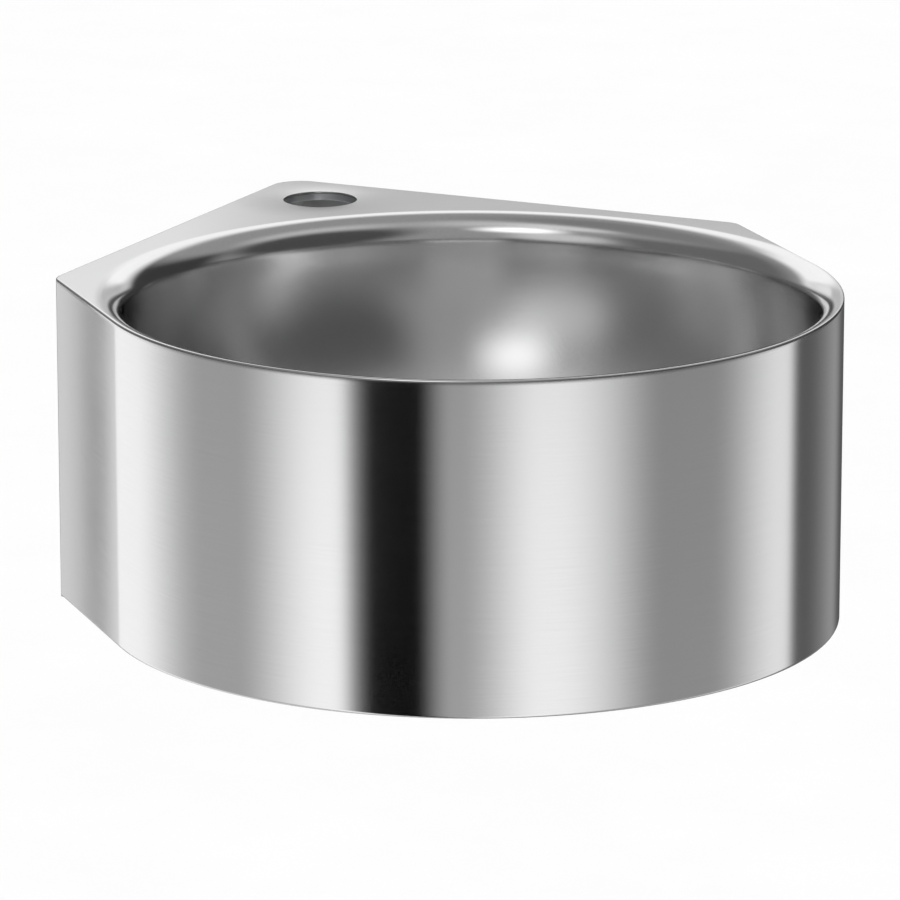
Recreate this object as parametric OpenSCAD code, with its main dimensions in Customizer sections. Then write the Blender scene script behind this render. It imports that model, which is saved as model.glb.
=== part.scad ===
// Wall-hung corner hand basin in welded stainless sheet.
// The origin is the corner of the room at the level of the deck.
// One wall is the plane Y = 0, the other is the plane X = 0, and the basin lies at +X, -Y.

/* [Plan] */
// Radius of the round front
front_r = 167; // [150:1:200]
// Gap between the circle of the round front and each wall
wall_gap = 16; // [14:1:40]
// Radius of the rounded back corner
corner_r = 15; // [6:1:24]
// Outside radius of the bend where the skirt meets each wall
bend_r = 10; // [5:1:20]

/* [Sheet] */
// Thickness of the sheet that the deck, bowl and skirt are made of
sheet_t = 1.2; // [0.8:0.1:2]

/* [Deck] */
// Width of the flat lip between the outer edge and the bowl at the front
lip_w = 2; // [1.5:0.5:8]
// Height of the flange turned down along each wall
rear_flange_h = 30; // [26:1:40]
// Diameter of the tap hole
tap_hole_d = 35; // [28:0.5:38]
// Distance of the tap hole's centre from each wall
tap_hole_in = 36; // [34:1:42]
// Width of the stiffening ring around the tap hole
tap_ring_w = 12.5; // [8:0.5:14]
// Thickness of the stiffening ring
tap_ring_t = 3; // [2:0.5:5]

/* [Bowl] */
// Radius of the rolled shoulder
roll_r = 10; // [6:1:14]
// Height of the upright wall below the shoulder
wall_h = 8; // [4:1:20]
// Radius of the wall's sweep into the floor
floor_r = 90; // [60:1:95]
// Fall of the floor towards the waste, in degrees
floor_fall = 4; // [2:1:8]
// Diameter of the recess for the waste
recess_d = 66; // [64:1:72]
// Depth of the recess
recess_h = 4; // [3:0.5:6]
// Diameter of the hole for the waste
waste_hole_d = 45; // [43.5:0.5:48]
// Width of the ring of sound-deadening pad under the floor
pad_w = 28; // [16:1:28]
// Thickness of the pad
pad_t = 3; // [2:0.5:5]

/* [Skirt] */
// Height of the skirt below the deck
skirt_h = 148; // [130:1:200]
// Width of the lip turned in along the bottom edge
hem_w = 9; // [4:1:12]
// Gap between the start of the bend at the wall and the start of that lip
hem_gap = 2; // [1:0.5:2.5]
// Length of the skirt's return along each wall
return_w = 22; // [14:1:26]
// Diameter of the lower fixing hole in each return
fix_hole_d = 6.5; // [5:0.5:8]
// Height of the lower fixing hole above the bottom edge
fix_hole_up = 24; // [16:1:40]

/* [Hanging] */
// Distance from the corner of the room to the middle of each hanger
hang_at = 145; // [140:1:150]
// Length of the rail welded inside each rear flange
rail_len = 110; // [96:1:118]
// Thickness of the rail
rail_t = 1.5; // [1:0.1:2.5]
// Depth of the rail's top below the deck's face
rail_drop = 5; // [3:1:8]
// Height of the leaf by which the rail is welded on
leaf_h = 10; // [6:1:14]
// Height of the rail's free lip
rail_lip_h = 14; // [8:1:20]
// Length of each hanger
hanger_len = 90; // [84:1:94]
// Thickness of the hanger
hanger_t = 2; // [1.5:0.5:4]
// Height of the hanger's wall plate
hanger_h = 60; // [50:1:80]
// Gap on each side of the hanger's tongue
hook_gap = 0.4; // [0.2:0.1:1]
// Gap between the rear flange and the hanger's step
step_gap = 2; // [1:0.5:5]
// Width of the slots in the hanger
slot_w = 9; // [6:0.5:10]
// Length of the slots in the hanger, end to end
slot_len = 20; // [14:1:26]
// Metal left between each slot and the end of the hanger
slot_edge = 7; // [5:1:12]
// Distance of the slots below the top of the wall plate
slot_drop = 36; // [24:1:38]

/* [Earth tag] */
// Distance of the earth tag from the corner of the room
tag_at = 76; // [74:1:78]
// Width of the tag
tag_w = 16; // [14:1:18]
// Thickness of the tag
tag_t = 1.5; // [1:0.1:3]
// Depth of the tag's top below the deck's face
tag_drop = 9; // [7:1:10]
// Height of the leg welded to the rear flange
tag_leg_h = 16; // [12:1:16]
// Reach of the tag out from the rear flange
tag_reach = 23; // [20:1:28]
// Distance of the screw from the rear flange
tag_screw_out = 14; // [12:1:15]
// Diameter of the earth screw
tag_screw_d = 6; // [4:0.5:6]
// Length of the earth screw under its head
tag_screw_len = 16; // [14:1:20]
// Clearance of the screw's hole, on the diameter
tag_hole_gap = 0.6; // [0.4:0.1:1]
// Width across the flats of the earth screw's head and nut
tag_hex_af = 10; // [9:0.5:11]
// Height of the earth screw's head
tag_head_h = 4; // [3:0.5:5]
// Height of the earth nut
tag_nut_h = 5; // [4:0.5:6]
// Diameter of the earth washer
tag_washer_d = 12; // [12:0.5:14]
// Thickness of the earth washer
tag_washer_t = 1.2; // [0.8:0.1:2]

/* [Waste] */
// Outside diameter of the threaded tail
tail_d = 41.9; // [38:0.1:42]
// Diameter of the tail's bore
tail_bore_d = 34; // [30:0.5:35]
// Length of the tail below its flange
tail_len = 62; // [50:1:80]
// Diameter of the waste's flange
flange_d = 62; // [56:0.5:62]
// Thickness of the waste's flange
flange_t = 3; // [2.5:0.5:4]
// Narrowing of the flange's top edge, on the radius
flange_chamfer = 1.5; // [0.5:0.5:3]
// Diameter of the strainer
strainer_d = 40; // [38:0.5:44]
// Thickness of the strainer
strainer_t = 1.5; // [1:0.1:2]
// Depth of the strainer's face below the flange's face
strainer_sink = 0.5; // [0.2:0.1:1]
// Gap round the strainer
strainer_gap = 0.2; // [0.1:0.1:0.5]
// Number of round holes in the strainer
strainer_holes = 8; // [6:1:10]
// Diameter of those holes
strainer_hole_d = 6; // [4:0.5:7]
// Radius of the ring of holes
strainer_ring_r = 12; // [11:0.5:13]
// Diameter of the waste screw
screw_d = 5; // [4:0.5:6]
// Length of the waste screw under its head
screw_len = 12; // [9:1:14]
// Diameter of the waste screw's head
screw_head_d = 9; // [8:0.5:12]
// Height of the waste screw's head
screw_head_h = 2.4; // [1.5:0.1:3]
// Width of the driving slot in the screw's head
screw_slot_w = 1.2; // [0.8:0.1:1.6]
// Depth of the driving slot
screw_slot_h = 1.1; // [0.6:0.1:1.3]
// Wall of the boss that the waste screw goes into
boss_wall = 2.5; // [2:0.5:4]
// Height of the boss and its spokes
boss_h = 8; // [6:1:12]
// Gap between the boss and the strainer
boss_gap = 0.6; // [0.4:0.1:0.9]
// Thickness of the boss's spokes
spoke_t = 2; // [1.5:0.5:3]
// Number of spokes
spokes = 3; // [2:1:4]
// Gap between a thread and what is screwed on it, on the radius
thread_gap = 0.05; // [0.02:0.01:0.1]
// Gap round the tail in the seals and the washer
seal_gap = 0.3; // [0.1:0.1:0.6]
// Diameter of the two seals and the slip washer
seal_d = 58; // [54:0.5:60]
// Thickness of the seal above the sheet
top_seal_t = 1.5; // [1:0.1:2]
// Thickness of the seal below the sheet
bottom_seal_t = 4; // [2:0.5:6]
// Thickness of the slip washer
slip_washer_t = 1.5; // [1:0.1:3]
// Width across the flats of the backnut
nut_af = 52; // [50:0.5:54]
// Height of the backnut
nut_h = 8; // [6:0.5:12]
// Height of the backnut's corner chamfer
nut_chamfer = 1.2; // [0.5:0.1:2]
// Width of the thread's run-out groove below the backnut
runout_w = 1.5; // [1:0.1:3]
// Depth of that groove
runout_depth = 0.8; // [0.5:0.1:1.2]

/* [Hidden] */
$fn = 120;
// Overrun of cuts past the faces that they open
over = 1;
// Steps in the arcs of the plan
front_steps = 90;
corner_steps = 9;
bend_steps = 6;

bowl_in = front_r + wall_gap;
wall_run = front_r*sqrt(2);
bend_at = wall_run - (sqrt(2) - 1)*bend_r;
return_at = bend_at - return_w;
skirt_low = -sheet_t - skirt_h;

rim_r = front_r - lip_w;
bowl_r = rim_r - roll_r;
wall_low = -roll_r - wall_h;
sweep_in = bowl_r - floor_r;
recess_r = recess_d/2;
pad_in = recess_r + 2*sheet_t + hem_w/2;

// Height of the bowl's floor, at radius r and g outside its face
function sweep_x(g) = sweep_in + (floor_r + g)*sin(floor_fall);
function sweep_z(g) = wall_low - (floor_r + g)*cos(floor_fall);
function floor_z(r, g) = sweep_z(g) - (sweep_x(g) - r)*tan(floor_fall);

seat_z = floor_z(recess_r, 0) - recess_h;
under_z = seat_z - sheet_t;
flange_low = seat_z + top_seal_t;
flange_top = flange_low + flange_t;
strainer_low = flange_top - strainer_sink - strainer_t;
boss_low = strainer_low - boss_gap - boss_h;
slip_top = under_z - bottom_seal_t;
nut_top = slip_top - slip_washer_t;
nut_low = nut_top - nut_h;

slot_pitch = hanger_len - slot_len - 2*slot_edge;
pocket = hanger_t + 2*hook_gap;
shelf_top = -rail_drop - leaf_h;
shelf_low = shelf_top - rail_t;
tongue_back = -sheet_t - hook_gap;
tongue_front = tongue_back - hanger_t;
step_top = -rear_flange_h - step_gap;
tag_low = -tag_drop - tag_leg_h;
tag_screw_y = -sheet_t - tag_screw_out;

steel = [0.78, 0.78, 0.79];
steel_inside = [0.7, 0.7, 0.71];
zinc = [0.62, 0.64, 0.66];
rubber = [0.1, 0.1, 0.1];
plastic = [0.9, 0.9, 0.88];
brass = [0.78, 0.66, 0.35];

// Mirrors a piece of the right wall over the room corner's diagonal, onto the left wall
module to_left() {
    mirror([1, 1, 0]) children();
}

// Puts a piece on the bowl's axis at height z
module on_bowl(z) {
    translate([bowl_in, -bowl_in, z]) children();
}

// Points along an arc, or its centre alone where the radius is nil
function arc(at, r, from, to, steps) =
    [for (i = [0:r > 0 ? steps : 0])
        let (a = from + (to - from)*i/steps)
        at + r*[cos(a), sin(a)]];

// The basin's plan, drawn in by d all round
function plan(d) =
    let (
        corner = max(corner_r, d),
        bend = max(bend_r, d),
        far = wall_run - (sqrt(2) - 1)*bend
    )
    concat(
        arc([corner, -corner], corner - d, 180, 90, corner_steps),
        arc([far, -bend], bend - d, 90, 45, bend_steps),
        arc([bowl_in, -bowl_in], front_r - d, 45, -135, front_steps),
        arc([bend, -far], bend - d, -135, -180, bend_steps)
    );

module block(d, h) {
    linear_extrude(h) polygon(plan(d));
}

// Everything past x along the right wall
module past(x, h) {
    translate([x, -2*bowl_in, -over]) cube([2*bowl_in, 2*bowl_in + over, h + 2*over]);
}

// Flange turned down along both walls and round the corner between them
module rear_flange() {
    translate([0, 0, -rear_flange_h]) difference() {
        block(0, rear_flange_h);
        translate([0, 0, -over]) block(sheet_t, rear_flange_h + 2*over);
        past(return_at, rear_flange_h);
        to_left() past(return_at, rear_flange_h);
    }
}

module deck() {
    color(steel) difference() {
        union() {
            translate([0, 0, -sheet_t]) block(0, sheet_t);
            rear_flange();
        }
        on_bowl(-sheet_t - over) cylinder(r = rim_r, h = sheet_t + 2*over);
        translate([tap_hole_in, -tap_hole_in, -sheet_t - over])
            cylinder(d = tap_hole_d, h = sheet_t + 2*over);
    }
}

// The bowl's inside, swollen by g
module bowl_hollow(g) {
    foot = [sweep_x(g), sweep_z(g)];
    rotate_extrude() difference() {
        translate([0, -roll_r]) square([rim_r, roll_r]);
        translate([rim_r, -roll_r]) circle(r = roll_r - g);
    }
    translate([0, 0, wall_low]) cylinder(r = bowl_r + g, h = wall_h);
    rotate_extrude() intersection() {
        translate([sweep_in, wall_low]) circle(r = floor_r + g);
        translate([sweep_in, wall_low - floor_r - g - over])
            square([floor_r + g + over, floor_r + g + over]);
    }
    rotate_extrude() polygon([
        [0, wall_low],
        [sweep_in, wall_low],
        foot,
        [0, floor_z(0, g)]
    ]);
    translate([0, 0, seat_z - g])
        cylinder(r = recess_r + g, h = recess_h + floor_r/2);
}

module bowl() {
    color(steel_inside) on_bowl(0) difference() {
        bowl_hollow(sheet_t);
        bowl_hollow(0);
        translate([0, 0, under_z - over]) cylinder(d = waste_hole_d, h = sheet_t + 2*over);
    }
}

// Lower fixing hole through the skirt's return on the right wall
module fix_hole() {
    translate([bend_at - return_w/2, over, skirt_low + fix_hole_up])
        rotate([90, 0, 0]) cylinder(d = fix_hole_d, h = sheet_t + 2*over);
}

// Space behind the skirt along the right wall, up to x
module behind(x, depth, h) {
    translate([-over, -depth, 0]) cube([x + over, depth + over, h]);
}

module skirt() {
    color(steel) difference() {
        union() {
            translate([0, 0, skirt_low]) difference() {
                block(0, skirt_h);
                translate([0, 0, -over]) block(sheet_t, skirt_h + 2*over);
                translate([0, 0, -over]) behind(return_at, corner_r, skirt_h + 2*over);
                translate([0, 0, -over]) to_left()
                    behind(return_at, corner_r, skirt_h + 2*over);
            }
            translate([0, 0, skirt_low]) difference() {
                block(0, sheet_t);
                translate([0, 0, -over]) block(hem_w, sheet_t + 2*over);
                translate([0, 0, -over])
                    behind(bend_at + hem_gap, max(corner_r, hem_w), sheet_t + 2*over);
                translate([0, 0, -over]) to_left()
                    behind(bend_at + hem_gap, max(corner_r, hem_w), sheet_t + 2*over);
            }
        }
        fix_hole();
        to_left() fix_hole();
    }
}

module tap_ring() {
    color(zinc) translate([tap_hole_in, -tap_hole_in, -sheet_t - tap_ring_t]) difference() {
        cylinder(d = tap_hole_d + 2*tap_ring_w, h = tap_ring_t);
        translate([0, 0, -over]) cylinder(d = tap_hole_d, h = tap_ring_t + 2*over);
    }
}

module sound_pad() {
    color(rubber) on_bowl(0) rotate_extrude() polygon([
        [pad_in, floor_z(pad_in, sheet_t)],
        [pad_in + pad_w, floor_z(pad_in + pad_w, sheet_t)],
        [pad_in + pad_w, floor_z(pad_in + pad_w, sheet_t) - pad_t],
        [pad_in, floor_z(pad_in, sheet_t) - pad_t]
    ]);
}

// Extrudes a section drawn in Y and Z along the right wall, centred at x
module along_wall(x, len) {
    translate([x - len/2, 0, 0]) rotate([90, 0, 90]) linear_extrude(len) children();
}

module rail() {
    lip_back = -sheet_t - pocket;
    color(zinc) along_wall(hang_at, rail_len) polygon([
        [-sheet_t, -rail_drop],
        [-sheet_t, shelf_low],
        [lip_back, shelf_low],
        [lip_back, shelf_low - rail_lip_h],
        [lip_back - rail_t, shelf_low - rail_lip_h],
        [lip_back - rail_t, shelf_top],
        [-sheet_t - rail_t, shelf_top],
        [-sheet_t - rail_t, -rail_drop]
    ]);
}

module right_rail() {
    rail();
}

module left_rail() {
    to_left() rail();
}

module slot(x) {
    low = step_top - slot_drop;
    half = (slot_len - slot_w)/2;
    for (side = [-1, 1])
        translate([x + side*half, over, low]) rotate([90, 0, 0])
            cylinder(d = slot_w, h = hanger_t + 2*over);
    translate([x - half, -hanger_t - over, low - slot_w/2])
        cube([2*half, hanger_t + 2*over, slot_w]);
}

module hanger() {
    color(zinc) difference() {
        along_wall(hang_at, hanger_len) polygon([
            [0, step_top],
            [tongue_back, step_top],
            [tongue_back, shelf_low],
            [tongue_front, shelf_low],
            [tongue_front, step_top - hanger_t],
            [-hanger_t, step_top - hanger_t],
            [-hanger_t, step_top - hanger_h],
            [0, step_top - hanger_h]
        ]);
        slot(hang_at - slot_pitch/2);
        slot(hang_at + slot_pitch/2);
    }
}

module right_hanger() {
    hanger();
}

module left_hanger() {
    to_left() hanger();
}

// Puts a piece on the axis of the earth screw at height z
module on_tag(z) {
    translate([tag_at, tag_screw_y, z]) children();
}

module earth_tag() {
    color(steel) difference() {
        along_wall(tag_at, tag_w) polygon([
            [-sheet_t, -tag_drop],
            [-sheet_t, tag_low],
            [-sheet_t - tag_reach, tag_low],
            [-sheet_t - tag_reach, tag_low + tag_t],
            [-sheet_t - tag_t, tag_low + tag_t],
            [-sheet_t - tag_t, -tag_drop]
        ]);
        on_tag(tag_low - over)
            cylinder(d = tag_screw_d + tag_hole_gap, h = tag_t + 2*over);
    }
}

module hexagon(af, h) {
    cylinder(d = af/cos(30), h = h, $fn = 6);
}

module earth_screw() {
    color(brass) {
        on_tag(tag_low - tag_washer_t) cylinder(d = tag_screw_d, h = tag_screw_len);
        on_tag(tag_low - tag_washer_t - tag_head_h) hexagon(tag_hex_af, tag_head_h);
    }
}

module earth_washer() {
    color(steel) on_tag(tag_low - tag_washer_t) difference() {
        cylinder(d = tag_washer_d, h = tag_washer_t);
        translate([0, 0, -over])
            cylinder(d = tag_screw_d + tag_hole_gap, h = tag_washer_t + 2*over);
    }
}

module earth_nut() {
    color(brass) on_tag(tag_low + tag_t) difference() {
        hexagon(tag_hex_af, tag_nut_h);
        translate([0, 0, -over])
            cylinder(d = tag_screw_d + 2*thread_gap, h = tag_nut_h + 2*over);
    }
}

// Boss on spokes across the tail's bore, which takes the waste screw
module spider() {
    boss_r = screw_d/2 + thread_gap + boss_wall;
    translate([0, 0, boss_low]) {
        cylinder(r = boss_r, h = boss_h);
        for (i = [0:spokes - 1])
            rotate([0, 0, i*360/spokes]) translate([0, -spoke_t/2, 0])
                cube([(tail_bore_d + tail_d)/4, spoke_t, boss_h]);
    }
}

module waste_body() {
    tail_low = flange_low - tail_len;
    color(brass) on_bowl(0) difference() {
        union() {
            difference() {
                union() {
                    translate([0, 0, tail_low]) cylinder(d = tail_d, h = tail_len);
                    translate([0, 0, flange_low])
                        cylinder(d = flange_d, h = flange_t - flange_chamfer);
                    translate([0, 0, flange_top - flange_chamfer])
                        cylinder(d1 = flange_d, d2 = flange_d - 2*flange_chamfer,
                            h = flange_chamfer);
                }
                translate([0, 0, tail_low - over])
                    cylinder(d = tail_bore_d, h = tail_len + flange_t + 2*over);
                translate([0, 0, strainer_low])
                    cylinder(d = strainer_d + 2*strainer_gap, h = flange_t);
            }
            spider();
        }
        translate([0, 0, boss_low - over])
            cylinder(d = screw_d + 2*thread_gap, h = boss_h + 2*over);
        translate([0, 0, nut_low - runout_w]) difference() {
            cylinder(d = tail_d + 2*over, h = runout_w);
            translate([0, 0, -over])
                cylinder(d = tail_d - 2*runout_depth, h = runout_w + 2*over);
        }
    }
}

module waste_strainer() {
    color(steel) on_bowl(strainer_low) difference() {
        cylinder(d = strainer_d, h = strainer_t);
        for (i = [0:strainer_holes - 1])
            rotate([0, 0, i*360/strainer_holes]) translate([strainer_ring_r, 0, -over])
                cylinder(d = strainer_hole_d, h = strainer_t + 2*over);
        translate([0, 0, -over])
            cylinder(d = screw_d + 2*strainer_gap, h = strainer_t + 2*over);
    }
}

module waste_screw() {
    top = strainer_low + strainer_t;
    color(steel) on_bowl(0) difference() {
        union() {
            translate([0, 0, top - screw_len]) cylinder(d = screw_d, h = screw_len);
            translate([0, 0, top]) cylinder(d = screw_head_d, h = screw_head_h);
        }
        translate([-screw_head_d, -screw_slot_w/2, top + screw_head_h - screw_slot_h])
            cube([2*screw_head_d, screw_slot_w, screw_head_h]);
    }
}

// Flat ring round the tail
module tail_ring(z, t) {
    on_bowl(z) difference() {
        cylinder(d = seal_d, h = t);
        translate([0, 0, -over]) cylinder(d = tail_d + 2*seal_gap, h = t + 2*over);
    }
}

module waste_top_seal() {
    color(rubber) tail_ring(seat_z, top_seal_t);
}

module waste_bottom_seal() {
    color(rubber) tail_ring(slip_top, bottom_seal_t);
}

module waste_slip_washer() {
    color(plastic) tail_ring(nut_top, slip_washer_t);
}

module waste_backnut() {
    corner = nut_af/cos(30);
    color(brass) on_bowl(nut_low) difference() {
        intersection() {
            hexagon(nut_af, nut_h);
            cylinder(d1 = nut_af, d2 = nut_af + (corner - nut_af)*nut_h/nut_chamfer, h = nut_h);
        }
        translate([0, 0, -over]) cylinder(d = tail_d + 2*thread_gap, h = nut_h + 2*over);
    }
}

deck();
bowl();
skirt();
tap_ring();
sound_pad();
right_rail();
left_rail();
right_hanger();
left_hanger();
earth_tag();
earth_screw();
earth_washer();
earth_nut();
waste_body();
waste_strainer();
waste_screw();
waste_top_seal();
waste_bottom_seal();
waste_slip_washer();
waste_backnut();
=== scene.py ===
"""Corner hand basin in stainless sheet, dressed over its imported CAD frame."""

import math

import bmesh
import bpy
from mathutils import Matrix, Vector


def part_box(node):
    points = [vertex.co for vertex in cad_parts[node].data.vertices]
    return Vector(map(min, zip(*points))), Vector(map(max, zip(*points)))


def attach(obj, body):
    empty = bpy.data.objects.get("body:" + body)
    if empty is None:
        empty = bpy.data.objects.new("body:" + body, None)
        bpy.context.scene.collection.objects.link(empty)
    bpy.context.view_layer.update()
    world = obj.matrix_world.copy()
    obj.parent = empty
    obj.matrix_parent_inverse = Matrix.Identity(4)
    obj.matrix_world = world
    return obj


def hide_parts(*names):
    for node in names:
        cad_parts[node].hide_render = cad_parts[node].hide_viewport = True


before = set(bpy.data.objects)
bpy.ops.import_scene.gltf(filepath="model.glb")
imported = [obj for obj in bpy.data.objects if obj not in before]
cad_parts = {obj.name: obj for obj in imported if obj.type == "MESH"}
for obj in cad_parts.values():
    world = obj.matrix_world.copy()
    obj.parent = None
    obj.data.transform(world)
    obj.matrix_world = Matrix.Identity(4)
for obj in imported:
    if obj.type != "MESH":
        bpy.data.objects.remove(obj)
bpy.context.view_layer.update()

# Sizes of the basin, in metres, as in the part's source
MM = 0.001
SHEET = 1.2 * MM
FRONT_R = 167 * MM
BOWL_IN = 183 * MM
WALL_RUN = FRONT_R * math.sqrt(2)
SIDE_RUN = BOWL_IN - FRONT_R / math.sqrt(2)
CORNER_R = 15 * MM
BEND_R = 10 * MM
BEND_RUN = (math.sqrt(2) - 1) * BEND_R
RETURN_W = 22 * MM
RETURN_AT = WALL_RUN - BEND_RUN - RETURN_W
FLANGE_H = 30 * MM
TAP_IN = 36 * MM
TAP_HOLE_R = 17.5 * MM
RIM_R = 165 * MM
ROLL_R = 10 * MM
BOWL_R = RIM_R - ROLL_R
WALL_LOW = -18 * MM
SWEEP_R = 90 * MM
SWEEP_IN = BOWL_R - SWEEP_R
FLOOR_FALL = math.radians(4)
RECESS_R = 33 * MM
WASTE_HOLE_R = 22.5 * MM
HEM_W = 9 * MM
FIX_HOLE_R = 3.25 * MM
FIX_HOLE_UP = 24 * MM
RAIL_SHEET = 1.5 * MM
HANGER_SHEET = 2.0 * MM
TAG_SHEET = 1.5 * MM
TAIL_R = 20.95 * MM
RUNOUT_W = 1.5 * MM
EARTH_SCREW_R = 3 * MM
SKIRT_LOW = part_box("skirt")[0].z
SEAT_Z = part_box("waste_top_seal")[0].z
screw_low, screw_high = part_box("earth_screw")

BOWL_AXIS = (BOWL_IN, -BOWL_IN)
TAP_AXIS = (TAP_IN, -TAP_IN)
EARTH_AXIS = ((screw_low.x + screw_high.x) / 2, (screw_low.y + screw_high.y) / 2)

# Small forms of this scene alone: the ground edge of the deck, the lean at which the rim's roll
# begins, the broken edge of the tap hole, the rounds of the recess and the lip, the threads
GROUND_R = 1.0 * MM
SHOULDER = math.radians(12)
TAP_EDGE = 0.25 * MM
RECESS_EASE = 1.5 * MM
LIP_R = 1.5 * MM
TAIL_ROOT_R = 19.5 * MM
TAIL_PITCH = 2.309 * MM
EARTH_ROOT_R = 2.45 * MM
EARTH_PITCH = 1 * MM

# Faint forms that only the finish shows, as bump: where the shoulder round the rim and the dish
# round the tap hole begin, the dish's lean at the hole, the height of the skirt's ground top
# and its lean at deck level, and the lean that the side panels gain per metre
SHOULDER_R = 171 * MM
DISH_R = 44 * MM
DISH_LEAN = math.radians(3)
GROUND_H = 2.6 * MM
GROUND_LEAN = 0.156
PANEL_BOW = 0.455

# Spot welds of the rails' leaves: their spacing and height, where they begin and end by the
# length along the wall, and how far from the wall they show
WELD_PITCH = 18 * MM
WELD_Z = -10 * MM
WELDS_FROM = 92 * MM
WELDS_TO = 202 * MM
WELDS_OUT = 6 * MM

# Fineness and limits of the modelling
HAIR = 0.01 * MM
AROUND = 240
TAP_AROUND = 72
RING_W = 0.3 * MM
SMOOTH_BELOW = math.radians(35)
SHARP_ABOVE = math.radians(30)
FOLD_ABOVE = 1.0
SHORTEST_FOLD = 3 * MM


# ---- Modelling ----

def leave():
    """Puts the tools down: object mode, nothing selected."""
    if bpy.context.object and bpy.context.object.mode == "EDIT":
        bpy.ops.object.mode_set(mode="OBJECT")
    bpy.ops.object.select_all(action="DESELECT")


def pick_up(piece):
    leave()
    piece.select_set(True)
    bpy.context.view_layer.objects.active = piece


def edit(piece):
    pick_up(piece)
    bpy.ops.object.mode_set(mode="EDIT")


def start(name, primitive, **place):
    """Adds a primitive and puts its place in its mesh."""
    leave()
    primitive(**place)
    piece = bpy.context.object
    piece.name = piece.data.name = name
    bpy.ops.object.transform_apply(location=True, rotation=True, scale=True)
    return piece


def choose(kind, test):
    """Selects the vertices, edges or faces of the piece in hand that pass the test."""
    bpy.ops.mesh.select_mode(type=kind)
    bpy.ops.mesh.select_all(action="DESELECT")
    shape = bmesh.from_edit_mesh(bpy.context.edit_object.data)
    parts = {"VERT": shape.verts, "EDGE": shape.edges, "FACE": shape.faces}[kind]
    for part in parts:
        if test(part):
            part.select_set(True)
    shape.select_flush_mode()
    bmesh.update_edit_mesh(bpy.context.edit_object.data)


def choose_edges(test):
    """Selects the edges whose two ends both pass the test."""
    choose("EDGE", lambda edge: all(test(end.co) for end in edge.verts))


def choose_all():
    bpy.ops.mesh.select_all(action="SELECT")


def pull(x=0.0, y=0.0, z=0.0):
    bpy.ops.mesh.extrude_region_move(TRANSFORM_OT_translate={"value": (x, y, z)})


def pull_to_corner(at_right, length):
    """Pulls out along the right or the left wall, towards the corner of the room."""
    if at_right:
        pull(x=-length)
    else:
        pull(y=length)


def shrink(ratio, axis, z=0):
    """Draws what is selected in towards an upright axis."""
    bpy.ops.transform.resize(value=(ratio, ratio, 1), center_override=(*axis, z))


def tidy_mesh(outward=True):
    """Closes the seams of the piece in hand, and can turn its faces outwards."""
    bpy.ops.mesh.select_mode(type="VERT")
    choose_all()
    bpy.ops.mesh.remove_doubles(threshold=HAIR / 5)
    if outward:
        bpy.ops.mesh.normals_make_consistent(inside=False)


def face_out(piece, way, near):
    """Turns an open sheet so that its face by a point looks the given way."""
    leave()
    shown = min(piece.data.polygons, key=lambda face: (face.center - Vector(near)).length)
    if shown.normal.dot(Vector(way)) < 0:
        edit(piece)
        choose_all()
        bpy.ops.mesh.flip_normals()
    leave()


def with_modifier(piece, kind, **settings):
    pick_up(piece)
    modifier = piece.modifiers.new(kind.title(), kind)
    for key, value in settings.items():
        setattr(modifier, key, value)
    bpy.ops.object.modifier_apply(modifier=modifier.name)


def thicken(piece):
    """Gives a surface the thickness of the sheet, behind it."""
    with_modifier(piece, "SOLIDIFY", thickness=SHEET, offset=-1, use_even_offset=True)


def smooth(piece, weighted=True):
    """Smooth shading, weighted so that it keeps wide flat faces flat."""
    pick_up(piece)
    bpy.ops.object.shade_smooth_by_angle(angle=SMOOTH_BELOW)
    if weighted:
        with_modifier(piece, "WEIGHTED_NORMAL", weight=100, keep_sharp=True)


def hand_in(piece, finish, slot, *nodes):
    """Gives a made piece its finish and its place in the frame."""
    leave()
    piece.data.materials.clear()
    piece.data.materials.append(finish)
    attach(piece, "root")
    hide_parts(*nodes)


def turned(name, profile):
    """Turns a sheet round the bowl's axis from its profile of (radius, height)."""
    radius, height = profile[0]
    piece = start(name, bpy.ops.mesh.primitive_circle_add, vertices=AROUND, radius=radius,
                  location=(*BOWL_AXIS, height))
    edit(piece)
    choose_all()
    for wide, high in profile[1:]:
        pull(z=high - height)
        shrink(wide / radius, BOWL_AXIS, high)
        radius, height = wide, high
    tidy_mesh()
    leave()
    return piece


def arc(centre, radius, start_deg, end_deg, steps):
    """Points along an arc in a profile, both ends included."""
    angles = [math.radians(start_deg + (end_deg - start_deg) * i / steps) for i in range(steps + 1)]
    return [(centre[0] + radius * math.cos(a), centre[1] + radius * math.sin(a)) for a in angles]


def line(first, last, steps):
    """Points along a line in a profile, its first left out."""
    return [tuple(f + (l - f) * i / steps for f, l in zip(first, last))
            for i in range(1, steps + 1)]


def to_corner(point):
    """How far a point lies from the bowl's axis towards the corner of the room."""
    return (point.y - point.x + 2 * BOWL_IN) / math.sqrt(2)


def from_axis(point, axis=BOWL_AXIS):
    """How far a point lies from an upright axis."""
    return math.hypot(point.x - axis[0], point.y - axis[1])


def at_wall(point, along):
    """At a wall, a given length along it from the corner of the room."""
    return abs(max(point.x, -point.y) - along) < HAIR and min(point.x, -point.y) < HAIR


def front_wire(name, z):
    """The half-round front as a wire, pulled out on both sides to the walls."""
    piece = start(name, bpy.ops.mesh.primitive_circle_add, vertices=AROUND, radius=FRONT_R,
                  location=(*BOWL_AXIS, z))
    edit(piece)
    choose("VERT", lambda vert: to_corner(vert.co) > HAIR)
    bpy.ops.mesh.delete(type="VERT")
    for at_right in (True, False):
        choose("VERT", lambda vert: to_corner(vert.co) > -HAIR
               and (vert.co.x > BOWL_IN) == at_right
               and min(vert.co.x, -vert.co.y) > HAIR)
        pull(x=-SIDE_RUN, y=SIDE_RUN)
        pull_to_corner(at_right, WALL_RUN - RETURN_AT)
    return piece


# ---- The deck ----

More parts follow.
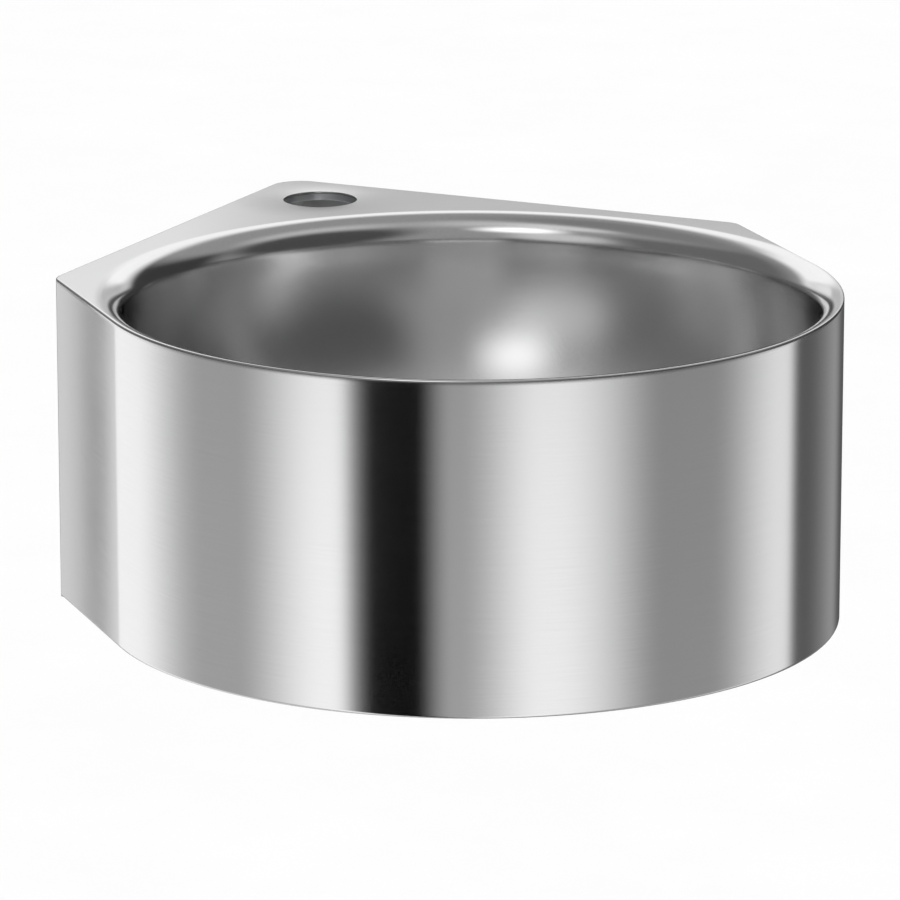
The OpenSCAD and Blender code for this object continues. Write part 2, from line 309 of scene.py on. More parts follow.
def on_wall_side(point):
    """On the two straight edges at the walls or the round corner between them."""
    return min(point.x, -point.y) < CORNER_R / 3 and max(point.x, -point.y) < RETURN_AT + HAIR


def on_outline(point):
    """On the outer edge of the deck, and on neither of its holes."""
    return (from_axis(point) > RIM_R + MM / 2
            and from_axis(point, TAP_AXIS) > TAP_HOLE_R + MM / 2)


def make_deck():
    deck = front_wire("deck_sheet", 0)
    for at_right in (True, False):
        choose("VERT", lambda vert: at_wall(vert.co, RETURN_AT)
               and (vert.co.x > HAIR) == at_right)
        pull_to_corner(at_right, RETURN_AT)
    tidy_mesh(outward=False)
    bpy.ops.mesh.edge_face_add()
    choose("VERT", lambda vert: vert.co.length < HAIR)
    bpy.ops.mesh.bevel(offset=CORNER_R, segments=12, affect="VERTICES")
    choose("VERT", lambda vert: at_wall(vert.co, WALL_RUN))
    bpy.ops.mesh.bevel(offset=BEND_RUN, segments=8, affect="VERTICES")
    # The outline and its two holes, filled
    choose_all()
    bpy.ops.mesh.delete(type="ONLY_FACE")
    bpy.ops.mesh.primitive_circle_add(vertices=AROUND, radius=RIM_R, location=(*BOWL_AXIS, 0))
    bpy.ops.mesh.primitive_circle_add(vertices=TAP_AROUND, radius=TAP_HOLE_R,
                                      location=(*TAP_AXIS, 0))
    choose_all()
    bpy.ops.mesh.fill(use_beauty=True)
    # The sheet's edge all round, and the flanges at the walls
    choose("EDGE", lambda edge: edge.is_boundary and all(on_outline(end.co) for end in edge.verts))
    pull(z=-SHEET)
    choose_edges(lambda end: on_wall_side(end) and end.z < -HAIR)
    pull(z=SHEET - FLANGE_H)
    tidy_mesh()
    choose("EDGE", lambda edge: all(on_outline(end.co) and end.co.z > -HAIR for end in edge.verts)
           and any(abs(face.normal.z) < 0.5 for face in edge.link_faces))
    bpy.ops.mesh.bevel(offset=GROUND_R, segments=5)
    # A narrow ring inside every edge, so that the shading of the flat top stays flat
    choose("FACE", lambda face: abs(face.normal.z) > 0.999 and face.calc_center_median().z > -HAIR)
    bpy.ops.mesh.inset(thickness=RING_W, use_boundary=True, use_even_offset=True)
    face_out(deck, way=(0, 0, 1), near=(*TAP_AXIS, 0))
    thicken(deck)
    edit(deck)
    choose_edges(lambda end: end.z > -HAIR and abs(from_axis(end, TAP_AXIS) - TAP_HOLE_R) < HAIR)
    bpy.ops.mesh.bevel(offset=TAP_EDGE, segments=3)
    smooth(deck)
    return deck


# ---- The bowl ----

def make_bowl():
    roll_r = ROLL_R / (1 - math.sin(SHOULDER))
    wall_top = -roll_r * math.cos(SHOULDER)
    foot = (SWEEP_IN + SWEEP_R * math.sin(FLOOR_FALL), WALL_LOW - SWEEP_R * math.cos(FLOOR_FALL))
    edge_z = foot[1] - (foot[0] - RECESS_R) * math.tan(FLOOR_FALL)
    ease = RECESS_EASE
    profile = arc((BOWL_R + roll_r, wall_top), roll_r, 90 + math.degrees(SHOULDER), 180, 24)
    profile += line((BOWL_R, wall_top), (BOWL_R, WALL_LOW), 6)[:-1]
    profile += arc((SWEEP_IN, WALL_LOW), SWEEP_R, 0, math.degrees(FLOOR_FALL) - 90, 86)
    profile += line(foot, (RECESS_R + ease, edge_z + 0.1 * ease), 6)
    profile += arc((RECESS_R + ease, edge_z - ease), ease, 90, 180, 5)[1:]
    profile += arc((RECESS_R - ease, SEAT_Z + ease), ease, 0, -90, 5)
    profile += [(WASTE_HOLE_R, SEAT_Z)]
    bowl = turned("bowl_sheet", profile)
    face_out(bowl, way=(0, 0, 1), near=(*BOWL_AXIS, SEAT_Z))
    thicken(bowl)
    smooth(bowl, weighted=False)
    return bowl


# ---- The skirt ----

def make_skirt():
    skirt = front_wire("skirt_sheet", SKIRT_LOW)
    choose_all()
    pull(z=-SHEET - SKIRT_LOW)
    tidy_mesh()
    choose_edges(lambda end: at_wall(end, WALL_RUN))
    bpy.ops.mesh.bevel(offset=BEND_RUN, segments=8)
    # The lip turned in along the bottom of the front and the panels, not of the returns
    panel_from = BEND_R * (1 - math.sqrt(0.5)) - HAIR
    choose_edges(lambda end: end.z < SKIRT_LOW + HAIR and min(end.x, -end.y) > panel_from)
    pull()
    shrink((FRONT_R - HEM_W) / FRONT_R, BOWL_AXIS, SKIRT_LOW)
    choose("EDGE", lambda edge: len(edge.link_faces) == 2
           and all(end.co.z < SKIRT_LOW + HAIR for end in edge.verts)
           and any(face.normal.z ** 2 < 0.5 for face in edge.link_faces))
    bpy.ops.mesh.bevel(offset=LIP_R, segments=5)
    tidy_mesh()
    middle = BOWL_IN + FRONT_R / math.sqrt(2)
    face_out(skirt, way=(1, -1, 0), near=(middle, -middle, SKIRT_LOW / 2))
    thicken(skirt)
    # A fixing hole in the middle of each return
    along = RETURN_AT + RETURN_W / 2
    for x, y, turn in ((along, 0, (math.pi / 2, 0, 0)), (0, -along, (0, math.pi / 2, 0))):
        drill = start("drill", bpy.ops.mesh.primitive_cylinder_add, vertices=48,
                      radius=FIX_HOLE_R, depth=12 * MM, rotation=turn,
                      location=(x, y, SKIRT_LOW + FIX_HOLE_UP))
        with_modifier(skirt, "BOOLEAN", object=drill, operation="DIFFERENCE", solver="EXACT")
        bpy.data.objects.remove(drill)
    smooth(skirt)
    return skirt


# ---- The fittings ----

def copied(node):
    """A merged copy of a CAD solid, to be finished as a piece of its own."""
    leave()
    piece = bpy.data.objects.new(node + "_made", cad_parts[node].data.copy())
    bpy.context.scene.collection.objects.link(piece)
    edit(piece)
    bpy.ops.mesh.customdata_custom_splitnormals_clear()
    tidy_mesh(outward=False)
    bpy.ops.mesh.dissolve_limited(angle_limit=math.radians(0.5))
    leave()
    return piece


def soften(piece, edge=0.3 * MM):
    """Breaks the sharp edges of a piece."""
    with_modifier(piece, "BEVEL", width=edge, segments=2, limit_method="ANGLE",
                  angle_limit=SHARP_ABOVE)
    smooth(piece)
    return piece


def is_fold(edge, along, sheet, outer):
    """An edge along the wall between two leaves of folded sheet, outside or inside the fold."""
    if (len(edge.link_faces) != 2 or edge.is_convex != outer
            or edge.calc_face_angle() < FOLD_ABOVE):
        return False
    way = edge.verts[1].co - edge.verts[0].co
    if abs(way[along]) < SHORTEST_FOLD or abs(way[along]) < edge.calc_length() - HAIR:
        return False
    widths = [face.calc_area() / edge.calc_length() for face in edge.link_faces]
    return all(abs(width - sheet) > 5 * HAIR for width in widths)


def folded(node, along, sheet, outer_r, inner_r):
    """A bracket folded from sheet, with the round of its bends."""
    piece = copied(node)
    edit(piece)
    for outer, radius in ((True, outer_r), (False, inner_r)):
        choose("EDGE", lambda edge: is_fold(edge, along, sheet, outer))
        bpy.ops.mesh.bevel(offset=radius, segments=5)
    return soften(piece, 0.2 * MM)


def narrow(piece, axis, radius, to_radius, below=math.inf):
    """Turns a shank down to the root of its thread."""
    edit(piece)
    choose("VERT", lambda vert: abs(from_axis(vert.co, axis) - radius) < 2 * HAIR
           and vert.co.z < below)
    shrink(to_radius / radius, axis)
    leave()


def add_thread(piece, axis, root_r, crest_r, pitch, low, high, steps):
    """Winds a thread's ridge round a shank and joins it to the piece."""
    # The ridge's section is a square on its point, brought down to a roof with a round crest
    # and its foot sunk a little way into the shank
    deep = crest_r - root_r + 0.12 * pitch
    ridge = start("ridge", bpy.ops.mesh.primitive_circle_add, vertices=4, radius=1,
                  fill_type="NGON", rotation=(math.pi / 2, 0, 0))
    edit(ridge)
    choose_all()
    bpy.ops.transform.resize(value=(deep, 1, 0.47 * pitch), center_override=(0, 0, 0))
    bpy.ops.transform.translate(value=(crest_r - deep, 0, 0))
    choose("VERT", lambda vert: vert.co.x > crest_r - HAIR)
    bpy.ops.mesh.bevel(offset=0.1 * pitch, segments=2, affect="VERTICES")
    choose("VERT", lambda vert: vert.co.x < crest_r - 1.9 * deep)
    bpy.ops.transform.translate(value=(0.9 * deep, 0, 0))
    choose_all()
    bpy.ops.mesh.delete(type="ONLY_FACE")
    turns = int((high - low) / pitch - 1)
    with_modifier(ridge, "SCREW", axis="Z", screw_offset=pitch, iterations=turns, steps=steps,
                  render_steps=steps, use_smooth_shade=False)
    edit(ridge)
    tidy_mesh(outward=False)
    for upper in (True, False):
        choose("EDGE", lambda edge: edge.is_boundary
               and (edge.verts[0].co.z > turns * pitch / 2) == upper)
        bpy.ops.mesh.edge_face_add()
    choose_all()
    bpy.ops.mesh.normals_make_consistent(inside=False)
    bpy.ops.transform.translate(value=(*axis, (low + high - turns * pitch) / 2))
    pick_up(piece)
    ridge.select_set(True)
    bpy.ops.object.join()
    smooth(piece)
    return piece


def make_waste_body():
    body = copied("waste_body")
    tail_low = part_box("waste_body")[0].z
    thread_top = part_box("waste_backnut")[0].z - RUNOUT_W
    narrow(body, BOWL_AXIS, TAIL_R, TAIL_ROOT_R, below=thread_top + HAIR)
    soften(body, 0.35 * MM)
    return add_thread(body, BOWL_AXIS, TAIL_ROOT_R, TAIL_R, TAIL_PITCH, tail_low, thread_top,
                      steps=60)


def make_earth_screw():
    screw = copied("earth_screw")
    narrow(screw, EARTH_AXIS, EARTH_SCREW_R, EARTH_ROOT_R)
    soften(screw, 0.25 * MM)
    shank_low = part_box("earth_washer")[0].z
    return add_thread(screw, EARTH_AXIS, EARTH_ROOT_R, EARTH_SCREW_R, EARTH_PITCH, shank_low,
                      screw_high.z, steps=32)


# ---- Finishes ----

# Colours: most finishes go from a darker to a lighter one in soft clouds
STEEL = (0.70, 0.70, 0.705), (0.79, 0.79, 0.79)
# Grey of the rough mill finish under the deck, made dark as painted shade
MILL_STEEL_PAINTED_SHADE = (0.36, 0.36, 0.365)
WELD_STEEL = (0.42, 0.36, 0.30)
ZINC = (0.56, 0.59, 0.63), (0.70, 0.71, 0.70)
BURNT_ZINC = (0.30, 0.26, 0.22)
BRIGHT_STEEL = (0.72, 0.72, 0.725), (0.82, 0.82, 0.82)
BRASS = (0.70, 0.50, 0.23), (0.86, 0.68, 0.38)
CHROME = (0.76, 0.77, 0.79), (0.82, 0.83, 0.84)
RUBBER = (0.016, 0.016, 0.017), (0.03, 0.03, 0.031)
PAD = (0.014, 0.014, 0.015), (0.034, 0.033, 0.032)
PLASTIC = (0.74, 0.74, 0.72), (0.82, 0.82, 0.80)
PALE_FLOOR = (0.98, 0.98, 0.98), (1, 1, 1)


class Finish:
    """A material under way: its nodes, added and joined one by one."""

    def __init__(self, name, **shader):
        self.material = bpy.data.materials.new(name)
        self.material.use_nodes = True
        self.nodes = self.material.node_tree.nodes
        self.links = self.material.node_tree.links
        self.shader = self.nodes["Principled BSDF"]
        self.paint(**shader)

    def set(self, node, values):
        """Joins or writes each value to its socket."""
        for socket, value in values.items():
            if isinstance(value, bpy.types.NodeSocket):
                self.links.new(value, node.inputs[socket])
            else:
                node.inputs[socket].default_value = value

    def add(self, kind, values, output=0, **settings):
        node = self.nodes.new(kind)
        for key, value in settings.items():
            setattr(node, key, value)
        self.set(node, values)
        return node.outputs[output]

    def spot(self, source="Object"):
        """The point being shaded, in the row's frame or on the sheet's lay-out."""
        return self.add("ShaderNodeTexCoord", {}, source)

    def place(self, source="Object", scale=(1, 1, 1)):
        return self.add("ShaderNodeMapping", {"Vector": self.spot(source), "Scale": scale})

    def split(self, vector):
        """The three parts of a vector."""
        node = self.nodes.new("ShaderNodeSeparateXYZ")
        self.set(node, {0: vector})
        return tuple(node.outputs)

    def out_from(self, axis):
        """How far the point lies from an upright axis."""
        away = self.add("ShaderNodeVectorMath", {0: self.spot(), 1: (*axis, 0)},
                        operation="SUBTRACT")
        flat = self.add("ShaderNodeVectorMath", {0: away, 1: (1, 1, 0)}, operation="MULTIPLY")
        return self.add("ShaderNodeVectorMath", {0: flat}, "Value", operation="LENGTH")

    def noise(self, spot, scale, detail=4.0, roughness=0.6):
        return self.add("ShaderNodeTexNoise", {"Vector": spot, "Scale": scale, "Detail": detail,
                                               "Roughness": roughness})

    def range(self, value, low, high, at_low=0.3, at_high=0.7):
        return self.add("ShaderNodeMapRange", {"Value": value, "From Min": at_low,
                                               "From Max": at_high, "To Min": low,
                                               "To Max": high})

    def math(self, operation, *values):
        return self.add("ShaderNodeMath", dict(enumerate(values)), operation=operation)

    def square(self, value):
        return self.math("MULTIPLY", value, value)

    def mean(self, first, second, share):
        """The mean of two values, of which the second has the given share."""
        return self.math("MULTIPLY_ADD", second, share,
                         self.math("MULTIPLY", first, 1 - share))

    def shades(self, value, dark, light):
        """Runs from the dark colour to the light one."""
        ramp = self.nodes.new("ShaderNodeValToRGB")
        for element, colour, position in zip(ramp.color_ramp.elements, (dark, light),
                                             (0.25, 0.75)):
            element.color = (*colour, 1)
            element.position = position
        self.links.new(value, ramp.inputs[0])
        return ramp.outputs[0]

    def blend(self, share, first, second):
        """Mixes two colours."""
        return self.add("ShaderNodeMixRGB", {0: share, 1: first, 2: (*second, 1)})

    def bump(self, height, distance=1.0):
        return self.add("ShaderNodeBump", {"Strength": 1.0, "Distance": distance,
                                           "Height": height})

    def paint(self, **sockets):
        self.set(self.shader, {key.replace("_", " "): value for key, value in sockets.items()})
        return self.material


def height(finish):
    """The height of the point, nought at the deck's top."""
    return finish.split(finish.spot())[2]


def spot_welds(finish):
    """One at each spot weld of a rail's leaf, falling to nought round it."""
    x, y, z = finish.split(finish.spot())
    along = finish.math("SUBTRACT", x, y)
    turns = finish.math("FRACT", finish.math("DIVIDE", along, WELD_PITCH))
    across = finish.math("SUBTRACT", turns, 0.5)
    up = finish.math("DIVIDE", finish.math("SUBTRACT", z, WELD_Z), WELD_PITCH)
    away = finish.math("SQRT", finish.math("ADD", finish.square(across), finish.square(up)))
    near = finish.range(away, 1.0, 0.0, at_low=0.1, at_high=0.2)
    out = finish.math("MINIMUM", x, finish.math("MULTIPLY", y, -1.0))
    here = finish.math("MULTIPLY", finish.math("GREATER_THAN", along, WELDS_FROM),
                       finish.math("LESS_THAN", along, WELDS_TO))
    here = finish.math("MULTIPLY", here, finish.math("LESS_THAN", out, WELDS_OUT))
    return finish.math("MULTIPLY", near, here)


def grained_steel(name, source, grain_scale, rough, sway, spread=0.0, turn=0.0, tangent=None,
                  form=None, polished=None, welded=False, hidden_mill_and_shade=None):
    """Stainless sheet with a fine grain along it, and the faint waviness of pressed sheet."""
    steel = Finish(name, Metallic=1.0, Anisotropic=spread, Anisotropic_Rotation=turn)
    grain = steel.noise(steel.place(source, grain_scale), 1, 6, 0.65)
    clouds = steel.noise(steel.place(), 14, 3, 0.5)
    both = steel.mean(grain, clouds, 0.35)
    colour = steel.shades(both, *STEEL)
    dull = steel.range(both, rough * 0.88, rough * 1.12)
    if polished:
        dull = steel.math("MULTIPLY", dull, polished(steel))
    if hidden_mill_and_shade:
        unseen_and_shaded = hidden_mill_and_shade(steel)
        # Under the deck the sheet gets a rougher mill finish and a darker colour, which is painted
        # shade
        colour = steel.blend(steel.math("MULTIPLY", unseen_and_shaded, 0.9), colour, MILL_STEEL_PAINTED_SHADE)
        dull = steel.math("MULTIPLY_ADD", unseen_and_shaded, 0.3, dull)
    relief = steel.math("MULTIPLY", grain, sway)
    if form:
        relief = steel.math("ADD", relief, form(steel))
    if welded:
        welds = spot_welds(steel)
        colour = steel.blend(steel.math("MULTIPLY", welds, 0.55), colour, WELD_STEEL)
        relief = steel.math("MULTIPLY_ADD", welds, -0.15 * MM, relief)
    steel.paint(Base_Color=colour, Roughness=dull, Normal=steel.bump(relief))
    if tangent:
        steel.paint(Tangent=tangent(steel))
    return steel.material


def zinc_plate():
    """Bright zinc plating, a little cloudy, with the rail's spot welds burnt into it."""
    zinc = Finish("zinc plate", Metallic=1.0)
    clouds = zinc.noise(zinc.place(), 45, 5, 0.6)
    frost = zinc.noise(zinc.place(), 900, 3, 0.6)
    welds = spot_welds(zinc)
    colour = zinc.blend(zinc.math("MULTIPLY", welds, 0.7), zinc.shades(clouds, *ZINC),
                        BURNT_ZINC)
    relief = zinc.math("MULTIPLY_ADD", welds, -0.2 * MM, zinc.math("MULTIPLY", frost, 0.01 * MM))
    return zinc.paint(Base_Color=colour, Roughness=zinc.range(clouds, 0.3, 0.46),
                      Normal=zinc.bump(relief))


def turned_metal(name, colours, rough, axis, groove=0.004 * MM):
    """Metal from the lathe, with fine rings round an axis."""
    metal = Finish(name, Metallic=1.0)
    rings = metal.add("ShaderNodeCombineXYZ", {0: metal.out_from(axis), 1: height(metal)})
    fine = metal.noise(rings, 4500, 4, 0.7)
    clouds = metal.noise(metal.place(), 60, 4, 0.55)
    both = metal.mean(fine, clouds, 0.5)
    return metal.paint(Base_Color=metal.shades(both, *colours),
                       Roughness=metal.range(both, rough * 0.75, rough * 1.25),
                       Normal=metal.bump(metal.math("MULTIPLY", fine, groove)))


def moulded(name, colours, rough, pebble, depth):
    """Rubber or plastic from the mould, with a fine pebbled skin."""
    skin = Finish(name, Specular_IOR_Level=0.4)
    pebbles = skin.noise(skin.place(), pebble, 5, 0.6)
    clouds = skin.noise(skin.place(), 40, 4, 0.6)
    return skin.paint(Base_Color=skin.shades(clouds, *colours),
                      Roughness=skin.range(pebbles, rough * 0.85, rough * 1.15),
                      Normal=skin.bump(pebbles, depth))


def sunk(steel, axis, hole_r, reach, lean):
    """Height of a sheet that leans in, more and more, from a reach down to a hole's edge."""
    into = steel.math("MAXIMUM", steel.math("SUBTRACT", reach, steel.out_from(axis)), 0.0)
    fall = math.tan(lean) / 2 / (reach - hole_r)
    return steel.math("MULTIPLY", steel.square(into), -fall)


def drawn_in(steel):
    """The deck's soft shoulder at the rim and its faint dish at the tap hole."""
    return steel.math("ADD", sunk(steel, BOWL_AXIS, RIM_R, SHOULDER_R, SHOULDER),
                      sunk(steel, TAP_AXIS, TAP_HOLE_R, DISH_R, DISH_LEAN))


def ground_over(steel):
    """The top of the skirt, ground over towards the weld."""
    above = steel.math("MAXIMUM", steel.math("ADD", height(steel), GROUND_H), 0.0)
    return steel.math("MULTIPLY", steel.square(above), -0.5 * GROUND_LEAN / GROUND_H)


def ground_and_sprung(steel):
    """The skirt's ground top, and the slight outward bow of its two side panels."""
    length = steel.math("ABSOLUTE", steel.split(steel.spot("UV"))[0])
    along = steel.math("SUBTRACT", length, FRONT_R * math.pi / 2)
    along = steel.math("MAXIMUM", steel.math("MINIMUM", along, SIDE_RUN * math.sqrt(2)), 0.0)
    bow = steel.math("MULTIPLY", steel.square(along), -0.5 * PANEL_BOW)
    return steel.math("ADD", ground_over(steel), bow)


def brighter_rim(steel):
    """The rolled rim is polished, and the wall under it brushed."""
    return steel.range(height(steel), 1.0, 0.5, at_low=-28 * MM, at_high=-9 * MM)


def under_deck_mill_and_shade(steel):
    """The unpolished faces under the deck and inside its flanges: rougher mill finish, with their
    colour darkened as painted shade.
    """
    x, y, z = steel.split(steel.spot())
    wall = steel.math("MINIMUM", x, steel.math("MULTIPLY", y, -1.0))
    return steel.math("MULTIPLY", steel.math("LESS_THAN", z, -SHEET / 2),
                      steel.math("GREATER_THAN", wall, SHEET / 2))


def radial(steel):
    """The grain of the bowl runs round its axis."""
    return steel.add("ShaderNodeTangent", {}, direction_type="RADIAL", axis="Z")


def along_map(steel):
    """The grain of the skirt runs along its lay-out."""
    return steel.add("ShaderNodeTangent", {}, direction_type="UV_MAP", uv_map="sheet")


def lay_out(piece, lay):
    """Gives a sheet its flat lay-out as a UV map, in metres."""
    layer = piece.data.uv_layers.get("sheet") or piece.data.uv_layers.new(name="sheet")
    piece.data.uv_layers.active = layer
    for loop in piece.data.loops:
        layer.data[loop.index].uv = lay(piece.data.vertices[loop.vertex_index].co)
    for other in [o for o in piece.data.uv_layers if o.name != "sheet"]:
        piece.data.uv_layers.remove(other)


def skirt_layout(point):
    """Length along the skirt from the middle of its front, and height less the hem."""
    ahead = -to_corner(point)
    across = (point.x + point.y) / math.sqrt(2)
    if ahead >= 0:
        length = FRONT_R * math.atan2(across, ahead)
        inward = FRONT_R - math.hypot(across, ahead)
    else:
        length = math.copysign(FRONT_R * math.pi / 2 - ahead, across)
        inward = FRONT_R - abs(across)
    return (length, point.z - inward)


def deck_layout(point):
    """Across and towards the corner, with the flanges folded flat."""
    return ((point.x + point.y) / math.sqrt(2), to_corner(point) - point.z)


# ---- Building ----

deck = make_deck()
bowl = make_bowl()
skirt = make_skirt()
lay_out(deck, deck_layout)
lay_out(skirt, skirt_layout)

skirt_steel = grained_steel("satin steel of the skirt", "UV", (30, 2600, 1), rough=0.15,
                            sway=0.004 * MM, spread=0.9, turn=0.25, tangent=along_map,
                            form=ground_and_sprung)
deck_steel = grained_steel("satin steel of the deck", "UV", (60, 2600, 1), rough=0.15,
                           sway=0.003 * MM, form=drawn_in, welded=True, hidden_mill_and_shade=under_deck_mill_and_shade)
bowl_steel = grained_steel("polished steel of the bowl", "Object", (900, 900, 900), rough=0.23,
                           sway=0.0004 * MM, spread=0.9, turn=0.25, tangent=radial,
                           polished=brighter_rim)
hand_in(deck, deck_steel, "satin_steel", "deck")
hand_in(bowl, bowl_steel, "bowl_steel", "bowl")
hand_in(skirt, skirt_steel, "satin_steel", "skirt")

# The right wall runs along X and the left one along Y, which are axes 0 and 1
zinc = zinc_plate()
hand_in(soften(copied("tap_ring")), zinc, "zinc_plate", "tap_ring")
for axis, side in enumerate(("right", "left")):
    rail, hanger = side + "_rail", side + "_hanger"
    hand_in(folded(rail, axis, RAIL_SHEET, outer_r=2.0 * MM, inner_r=0.5 * MM), zinc,
            "zinc_plate", rail)
    hand_in(folded(hanger, axis, HANGER_SHEET, outer_r=1.0 * MM, inner_r=0.4 * MM), zinc,
            "zinc_plate", hanger)

tag_steel = turned_metal("bright steel of the tag", BRIGHT_STEEL, 0.24, EARTH_AXIS, 0.001 * MM)
waste_steel = turned_metal("bright steel of the strainer", BRIGHT_STEEL, 0.2, BOWL_AXIS)
earth_brass = turned_metal("brass of the earth screw", BRASS, 0.26, EARTH_AXIS)
nut_brass = turned_metal("brass of the backnut", BRASS, 0.3, BOWL_AXIS, 0.006 * MM)
chrome = turned_metal("chrome plate", CHROME, 0.07, BOWL_AXIS, 0.0006 * MM)
rubber = moulded("black rubber", RUBBER, 0.6, pebble=1400, depth=0.03 * MM)
pad_skin = moulded("sound pad", PAD, 0.8, pebble=420, depth=0.25 * MM)
plastic = moulded("white plastic", PLASTIC, 0.4, pebble=700, depth=0.01 * MM)

hand_in(folded("earth_tag", 0, TAG_SHEET, outer_r=2.0 * MM, inner_r=0.5 * MM), tag_steel,
        "bright_steel", "earth_tag")
hand_in(soften(copied("earth_washer"), 0.2 * MM), tag_steel, "bright_steel", "earth_washer")
hand_in(make_earth_screw(), earth_brass, "brass", "earth_screw")
hand_in(soften(copied("earth_nut")), earth_brass, "brass", "earth_nut")
hand_in(soften(copied("sound_pad"), 0.8 * MM), pad_skin, "black_rubber", "sound_pad")
hand_in(make_waste_body(), chrome, "chrome_plate", "waste_body")
hand_in(soften(copied("waste_strainer"), 0.25 * MM), waste_steel, "bright_steel",
        "waste_strainer")
hand_in(soften(copied("waste_screw")), waste_steel, "bright_steel", "waste_screw")
hand_in(soften(copied("waste_backnut"), 0.35 * MM), nut_brass, "brass", "waste_backnut")
for seal in ("waste_top_seal", "waste_bottom_seal"):
    hand_in(soften(copied(seal), 0.4 * MM), rubber, "black_rubber", seal)
hand_in(soften(copied("waste_slip_washer"), 0.25 * MM), plastic, "white_plastic",
        "waste_slip_washer")


# ---- Floor, light and camera ----

FLOOR_Z = -3.2
TENT_R = 2.0
TENT_AT = (*BOWL_AXIS, -0.05)
CAMERA_TURN = 0.435
CAMERA_TILT = 0.2531
CAMERA_AT = (1.3248, -2.6623, 0.6327)
LENS = 250.27
SENSOR = 36
FAR = 200

# Cloths of the light tent: where each begins, is full, is full no more and ends, by the angle
# round the basin from the camera to the right, the same by the angle of height, and how bright.
# Turns go from -180 to 180 degrees, or from 0 to 360 for a cloth that ends past the seam behind
PLAIN_CLOTH = 0.34
PAST_SEAM = 185
ALL_ROUND = (-182, -181, 181, 182)
LOWER_HALF = (-91, -90, -8, 4)
CLOTHS = {
    "lower grey": ((-182, -181, 36, 60), LOWER_HALF, 0.45),
    "far left strip": ((-139.6, -137.6, -122, -86), LOWER_HALF, 1.15),
    "left end": ((-182, -181, -142.5, -139.5), LOWER_HALF, 0.8),
    "left gap": ((-141.9, -140.2, -139.4, -137.9), LOWER_HALF, 0.15),
    "left strip": ((-74, -43, -41, -31), LOWER_HALF, 1.2),
    "right strip": ((-4, 21, 24, 59), LOWER_HALF, 1.15),
    "far right strip": ((75, 107, 109, 119), LOWER_HALF, 0.98),
    "right shade": ((110, 118, 121, 150), LOWER_HALF, 0.12),
    "rear shade": ((146, 160, 200, 212), (-91, -90, 5, 11), 0.1),
    "horizon": (ALL_ROUND, (-8, -3, 4, 9), 0.05),
    "black flag": ((-39, -28, -16, -5), (-91, -90, 4, 14), 0.0),
    "upper left shade": ((-150, -125, -66, -45), (0, 9, 34, 50), 0.16),
    "rear right shade": ((88, 110, 150, 160), (-8, 4, 24, 38), 0.05),
    "rear sheet": ((152, 168, 204, 217), (7, 11, 31, 46), 1.15),
    "low rear sheet": ((152, 168, 195, 214), (6, 11, 14, 19), 0.55),
    "low left sheet": ((183, 187, 195, 214), (6, 11, 14, 19), 0.92),
}

# Round lamps behind the cloth, and round shades: angle round the basin, angle of height, where
# they are full no more and end as angles from their middle, and how bright
LAMPS = {
    "overhead glow": (-20, 76, 2, 26, 0.62),
    "high left glow": (-58, 66, 5, 18, 0.8),
    "high left shade": (-125, 62, 12, 30, 0.24),
    "high right glow": (85, 58, 8, 26, 0.6),
    "front fill": (-32, 22, 8, 24, 0.68),
    "upper right shade": (60, 30, 22, 40, 0.08),
    "key lamp": (-21, 49, 3, 18, 1.85),
}


def make_floor():
    floor = start("floor", bpy.ops.mesh.primitive_plane_add, size=90, location=(0, 0, FLOOR_Z))
    paint = Finish("pale floor", Roughness=0.9)
    shade = paint.shades(paint.noise(paint.place(), 3), *PALE_FLOOR)
    floor.data.materials.append(paint.paint(Base_Color=shade))


def window(cloth, angle, marks):
    """One inside the marks, in radians, fading to nought at their ends."""
    begin, full, fade, end = marks
    rise = cloth.add("ShaderNodeMapRange", {"Value": angle, "From Min": begin, "From Max": full},
                     interpolation_type="SMOOTHSTEP")
    fall = cloth.add("ShaderNodeMapRange", {"Value": angle, "From Min": fade, "From Max": end,
                                            "To Min": 1.0, "To Max": 0.0},
                     interpolation_type="SMOOTHSTEP")
    return cloth.math("MULTIPLY", rise, fall)


def radians(marks):
    return [math.radians(mark) for mark in marks]


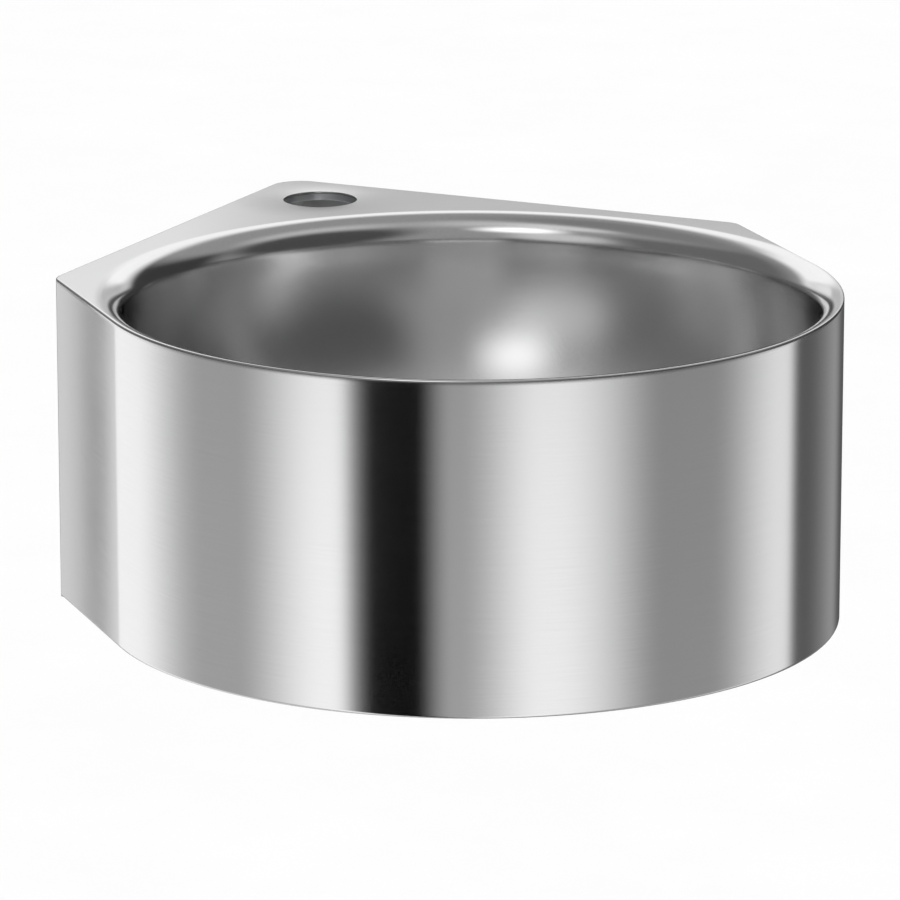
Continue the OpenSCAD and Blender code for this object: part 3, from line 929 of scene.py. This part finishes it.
def make_tent():
    """A light tent of soft panels that only the metal's reflections see."""
    tent = start("light_tent", bpy.ops.mesh.primitive_uv_sphere_add, segments=96, ring_count=48,
                 radius=TENT_R, location=TENT_AT)
    pick_up(tent)
    bpy.ops.object.shade_smooth()
    cloth = Finish("light tent")
    facing = math.atan2(CAMERA_AT[1] - TENT_AT[1], CAMERA_AT[0] - TENT_AT[0])
    spot = cloth.add("ShaderNodeVectorMath", {0: cloth.spot(), 1: TENT_AT}, operation="SUBTRACT")
    spot = cloth.add("ShaderNodeVectorRotate", {"Vector": spot, "Angle": -facing},
                     rotation_type="Z_AXIS")
    x, y, z = cloth.split(spot)
    turn = cloth.math("ARCTAN2", y, x)
    rise = cloth.math("ARCSINE", cloth.math("DIVIDE", z, TENT_R))
    behind = cloth.math("FLOORED_MODULO", turn, 2 * math.pi)
    light = PLAIN_CLOTH
    for turns, rises, level in CLOTHS.values():
        across = window(cloth, behind if turns[-1] > PAST_SEAM else turn, radians(turns))
        mask = cloth.math("MULTIPLY", across, window(cloth, rise, radians(rises)))
        light = cloth.add("ShaderNodeMix", {"Factor": mask, "A": light, "B": level})
    for *marks, level in LAMPS.values():
        turn_at, rise_at, full, end = radians(marks)
        towards = (math.cos(rise_at) * math.cos(turn_at), math.cos(rise_at) * math.sin(turn_at),
                   math.sin(rise_at))
        along = cloth.add("ShaderNodeVectorMath", {0: spot, 1: towards}, "Value",
                          operation="DOT_PRODUCT")
        away = cloth.math("ARCCOSINE", cloth.math("DIVIDE", along, TENT_R))
        mask = window(cloth, away, (-1, 0, full, end))
        light = cloth.add("ShaderNodeMix", {"Factor": mask, "A": light, "B": level})
    glow = cloth.add("ShaderNodeEmission", {"Strength": light})
    cloth.links.new(glow, cloth.nodes["Material Output"].inputs["Surface"])
    cloth.nodes.remove(cloth.shader)
    tent.data.materials.append(cloth.material)
    cloth.material.cycles.emission_sampling = "NONE"
    tent.visible_camera = tent.visible_diffuse = tent.visible_shadow = False
    tent.visible_transmission = tent.visible_volume_scatter = False


def make_camera():
    bpy.ops.object.camera_add(location=CAMERA_AT,
                              rotation=(math.pi / 2 - CAMERA_TILT, 0, CAMERA_TURN))
    camera = bpy.context.object
    camera.data.lens = LENS
    camera.data.sensor_width = SENSOR
    camera.data.clip_end = FAR
    bpy.context.scene.camera = camera


make_floor()
make_tent()
make_camera()
world = bpy.data.worlds.new("studio")
bpy.context.scene.world = world
world.use_nodes = True
world.node_tree.nodes["Background"].inputs["Color"].default_value = (1, 1, 1, 1)
bpy.context.scene.view_settings.view_transform = "Standard"
